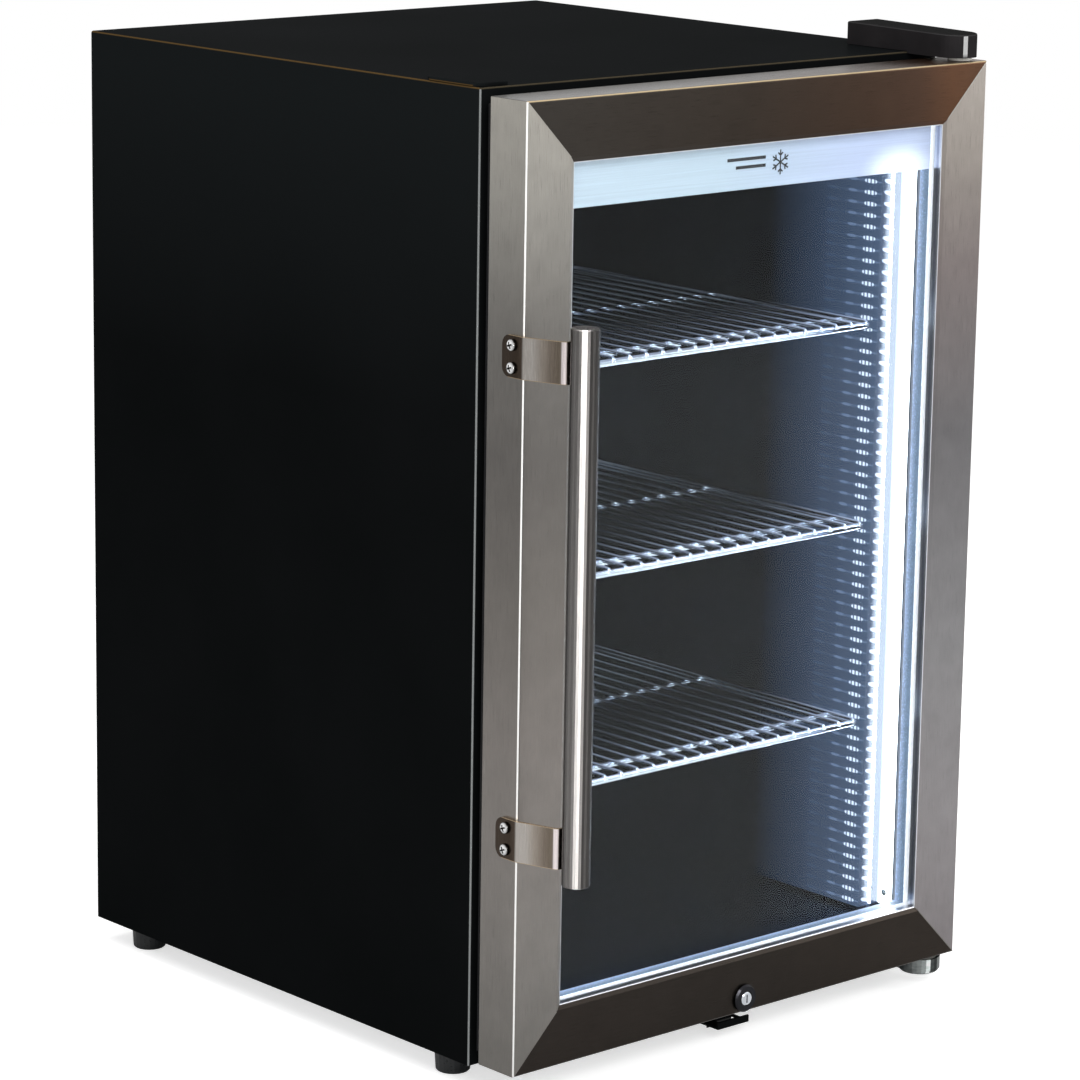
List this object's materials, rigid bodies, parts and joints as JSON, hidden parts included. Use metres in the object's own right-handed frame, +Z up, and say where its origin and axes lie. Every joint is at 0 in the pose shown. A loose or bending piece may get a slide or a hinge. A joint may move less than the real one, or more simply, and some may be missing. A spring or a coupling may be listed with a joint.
{
  "type": "mini fridge",
  "caption": "Compact undercounter drinks fridge with a lockable glass door, bar handle, lit interior, wire shelves and levelling feet",
  "frame": {"origin": "on the floor, at the centre of the whole fridge's footprint (handle and condenser included)", "axes": "+Z up, the door faces -Y, +X to the right when facing the door"},
  "size_m": [0.435, 0.5498, 0.6965],
  "materials": {
    "black_paint": "satin",
    "galvanised": "satin",
    "brushed_steel": "brushed",
    "polished_steel": "polished",
    "chrome": "polished",
    "zinc": "satin",
    "black_plastic": "satin",
    "liner_black": "gloss",
    "nylon": "satin",
    "foam": "matt",
    "glass": "clear",
    "aluminium": "satin",
    "header_silver": "satin",
    "rubber": "matt",
    "light_white": "diffuse",
    "copper": "satin"
  },
  "bodies": {
    "cabinet": {"outer_shell": "black_paint", "base_pan": "galvanised", "rear_panel": "black_paint", "inner_liner": "liner_black", "insulation_foam": "foam", "hinge_cover": "black_plastic", "top_hinge_plate": "zinc", "top_hinge_pin": "zinc", "top_hinge_washer": "nylon", "hinge_hole_plug": "black_plastic", "bottom_hinge_bracket": "polished_steel", "bottom_hinge_pin": "polished_steel", "bottom_hinge_washer": "nylon", "lock_strike": "black_paint", "rear_foot_left": "black_plastic", "rear_foot_right": "black_plastic", "light_bar_left": "light_white", "light_bar_right": "light_white", "evaporator_plate": "aluminium", "fan_cover": "black_plastic", "fan_motor": "galvanised", "control_box": "black_plastic", "compressor": "black_paint", "compressor_mount": "galvanised", "terminal_cover": "black_plastic", "melt_water_tray": "black_plastic", "condenser_coil": "black_paint", "condenser_plate_left": "black_paint", "condenser_plate_right": "black_paint", "filter_drier": "copper", "suction_pipe": "copper", "cord_gland": "black_plastic"},
    "door": {"door_top_rail": "brushed_steel", "door_bottom_rail": "brushed_steel", "door_left_stile": "brushed_steel", "door_right_stile": "brushed_steel", "door_inner_frame": "black_plastic", "door_gasket": "rubber", "outer_glass": "glass", "inner_glass": "glass", "glass_spacer": "aluminium", "header_panel": "header_silver", "handle_bar": "polished_steel", "handle_bracket_lower": "polished_steel", "handle_bracket_upper": "polished_steel", "handle_screw_1": "chrome", "handle_screw_2": "chrome", "handle_screw_3": "chrome", "handle_screw_4": "chrome", "lock_barrel": "black_plastic"},
    "lock": {"lock_plug": "chrome", "lock_cam": "chrome"},
    "shelf_1": {"wire_shelf_1": "chrome"},
    "shelf_2": {"wire_shelf_2": "chrome"},
    "shelf_3": {"wire_shelf_3": "chrome"},
    "foot_left": {"front_foot_left": "black_plastic"},
    "foot_right": {"front_foot_right": "black_plastic"},
    "fan": {"fan_rotor": "black_plastic"},
    "knob": {"thermostat_knob": "black_plastic"},
    "switch": {"light_switch": "black_plastic"}
  },
  "joints": [
    {"name": "door_hinge", "type": "hinge", "parent": "cabinet", "child": "door", "pos_m": [0.20305, -0.2106, 0.022], "axis": [0, 0, 1], "range_deg": [0, 110]},
    {"name": "lock_turn", "type": "hinge", "parent": "door", "child": "lock", "pos_m": [0.00255, -0.2236, 0.0325], "axis": [0, 1, 0], "range_deg": [0, 90]},
    {"name": "shelf_1_slide", "type": "slide", "parent": "cabinet", "child": "shelf_1", "axis": [0, -1, 0], "range_m": [0, 0.035]},
    {"name": "shelf_2_slide", "type": "slide", "parent": "cabinet", "child": "shelf_2", "axis": [0, -1, 0], "range_m": [0, 0.035]},
    {"name": "shelf_3_slide", "type": "slide", "parent": "cabinet", "child": "shelf_3", "axis": [0, -1, 0], "range_m": [0, 0.035]},
    {"name": "foot_left_screw", "type": "slide", "parent": "cabinet", "child": "foot_left", "axis": [0, 0, -1], "range_m": [0, 0.008]},
    {"name": "foot_right_screw", "type": "slide", "parent": "cabinet", "child": "foot_right", "axis": [0, 0, -1], "range_m": [0, 0.008]},
    {"name": "fan_spin", "type": "hinge", "parent": "cabinet", "child": "fan", "pos_m": [0.00255, 0.1774, 0.513], "axis": [0, 1, 0], "continuous": true},
    {"name": "knob_turn", "type": "hinge", "parent": "cabinet", "child": "knob", "pos_m": [-0.02945, -0.1286, 0.626], "axis": [0, 1, 0], "range_deg": [0, 270]},
    {"name": "switch_rock", "type": "hinge", "parent": "cabinet", "child": "switch", "pos_m": [0.03455, -0.1266, 0.626], "axis": [1, 0, 0], "range_deg": [0, 14]}
  ]
}
